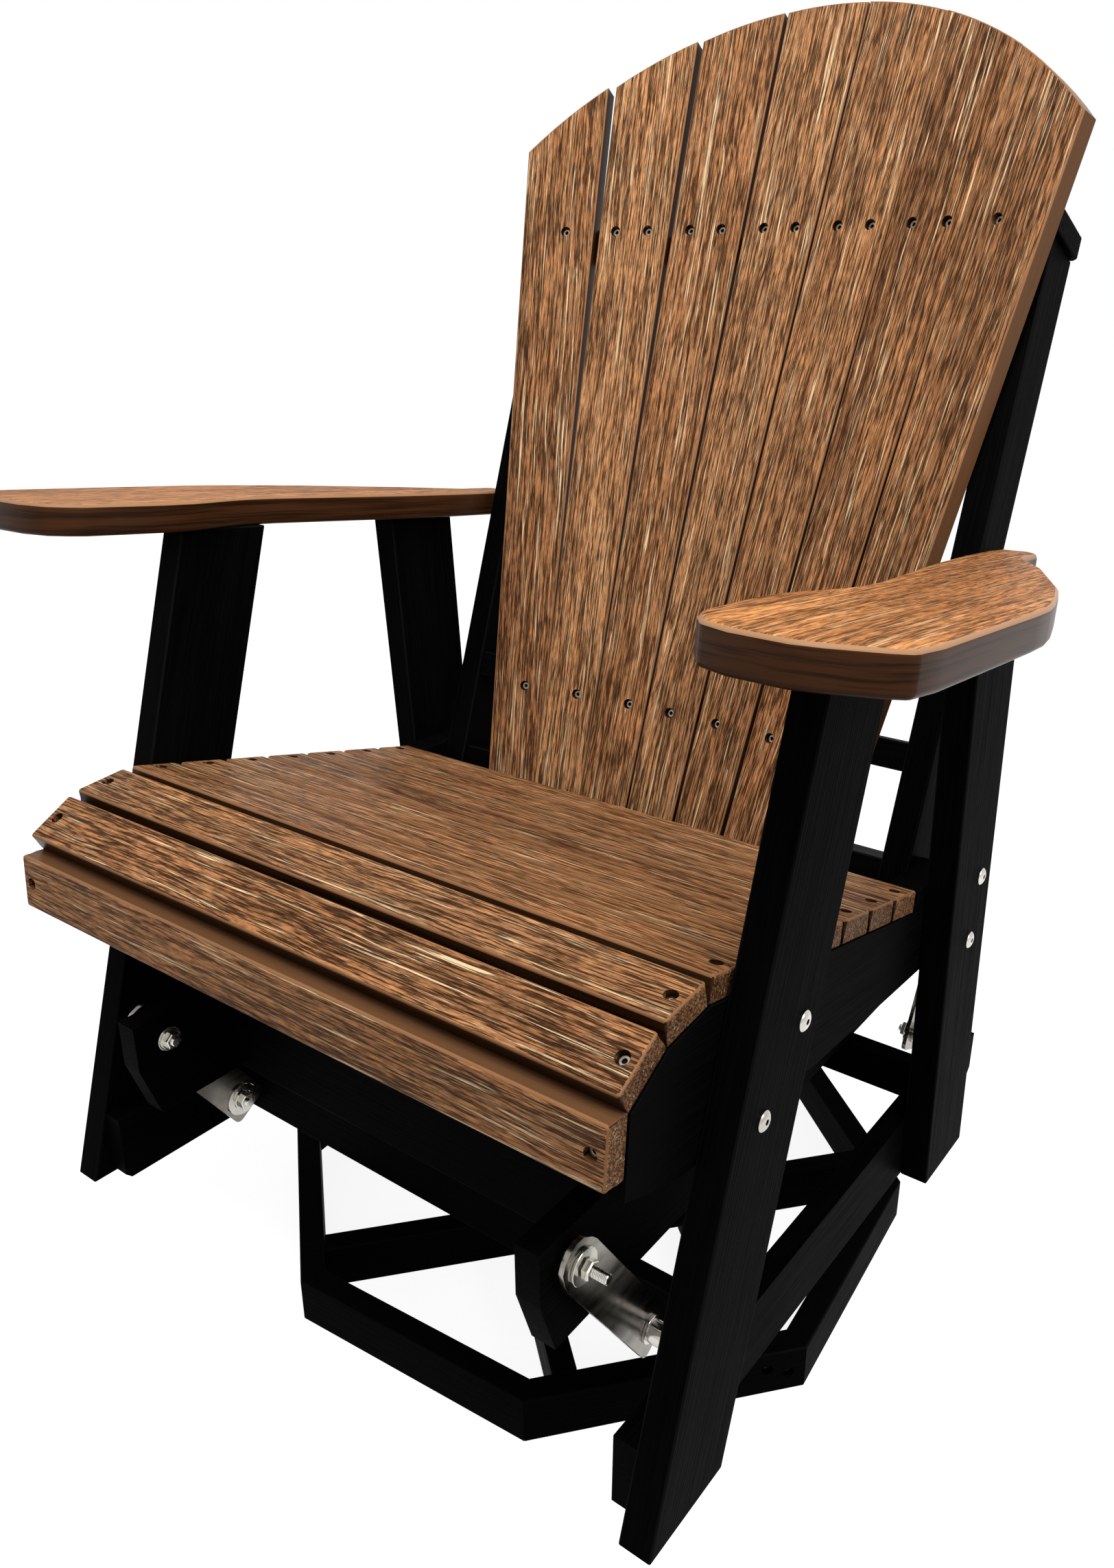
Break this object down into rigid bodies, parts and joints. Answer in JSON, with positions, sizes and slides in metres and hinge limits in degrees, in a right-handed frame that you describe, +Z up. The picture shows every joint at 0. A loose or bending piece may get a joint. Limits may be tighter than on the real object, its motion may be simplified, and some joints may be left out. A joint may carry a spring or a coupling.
{
  "type": "adirondack swivel glider",
  "caption": "Adirondack swivel glider chair with a contoured slat seat, a fan back and wide arms, hung on steel hangers from a swivel frame over an eight-sided floor base",
  "frame": {"origin": "on the floor under the middle of the part's bounding box", "axes": "+Z up, front of the chair towards -Y, sitter's left towards +X"},
  "size_m": [0.82, 0.7809, 1.1141],
  "materials": {
    "tan_board": "satin, streaked grain",
    "black_board": "satin, fine brushed grain",
    "polished_steel": "polished stainless",
    "zinc_steel": "zinc plated"
  },
  "bodies": {
    "base": {"base_beam_01": "black_board", "base_beam_02": "black_board", "base_beam_03": "black_board", "base_pedestal": "black_board", "base_ring": "black_board", "swivel_lower_plate": "zinc_steel"},
    "swivel_frame": {"frame_centre_board": "black_board", "frame_cross_front": "black_board", "frame_cross_rear": "black_board", "frame_side_left": "black_board", "frame_side_right": "black_board", "swivel_upper_plate": "zinc_steel", "upper_bolt_front_left": "polished_steel", "upper_bolt_front_right": "polished_steel", "upper_bolt_rear_left": "polished_steel", "upper_bolt_rear_right": "polished_steel"},
    "front_hangers": {"hanger_front_left": "polished_steel", "hanger_front_right": "polished_steel"},
    "rear_hangers": {"hanger_rear_left": "polished_steel", "hanger_rear_right": "polished_steel"},
    "chair": {"arm_left": "tan_board", "arm_right": "tan_board", "back_foot_rail": "black_board", "back_lower_rail": "black_board", "back_slat_01": "tan_board", "back_slat_02": "tan_board", "back_slat_03": "tan_board", "back_slat_04": "tan_board", "back_slat_05": "tan_board", "back_slat_06": "tan_board", "back_slat_07": "tan_board", "back_stile_left": "black_board", "back_stile_right": "black_board", "back_upper_rail": "black_board", "bottom_rail_left": "black_board", "bottom_rail_right": "black_board", "front_leg_left": "black_board", "front_leg_right": "black_board", "front_stretcher": "black_board", "lower_bolt_front_left": "polished_steel", "lower_bolt_front_right": "polished_steel", "lower_bolt_rear_left": "polished_steel", "lower_bolt_rear_right": "polished_steel", "rear_leg_left": "black_board", "rear_leg_right": "black_board", "rear_stretcher": "black_board", "seat_side_left": "black_board", "seat_side_right": "black_board", "seat_slat_01": "tan_board", "seat_slat_02": "tan_board", "seat_slat_03": "tan_board", "seat_slat_04": "tan_board", "seat_slat_05": "tan_board", "seat_slat_06": "tan_board", "seat_slat_07": "tan_board", "seat_slat_08": "tan_board", "seat_slat_09": "tan_board", "seat_slat_10": "tan_board"}
  },
  "joints": [
    {"name": "swivel", "type": "hinge", "parent": "base", "child": "swivel_frame", "pos_m": [0, -0.0084, 0.2], "axis": [0, 0, 1], "continuous": true},
    {"name": "front_hanger_swing", "type": "hinge", "parent": "swivel_frame", "child": "front_hangers", "pos_m": [0, -0.3349, 0.2714], "axis": [1, 0, 0], "range_deg": [-12, 5]},
    {"name": "chair_pivot", "type": "hinge", "parent": "front_hangers", "child": "chair", "pos_m": [0, -0.25124, 0.1469], "axis": [1, 0, 0], "range_deg": [-6.6, 15.6]},
    {"name": "rear_hanger_swing", "type": "hinge", "parent": "swivel_frame", "child": "rear_hangers", "pos_m": [0, 0.3181, 0.2714], "axis": [1, 0, 0], "range_deg": [-12, 5]}
  ],
  "couplings": [
    {"joint": "chair_pivot", "follows": "front_hanger_swing", "ratio": -1.29},
    {"joint": "rear_hanger_swing", "follows": "front_hanger_swing", "ratio": 0.98}
  ]
}
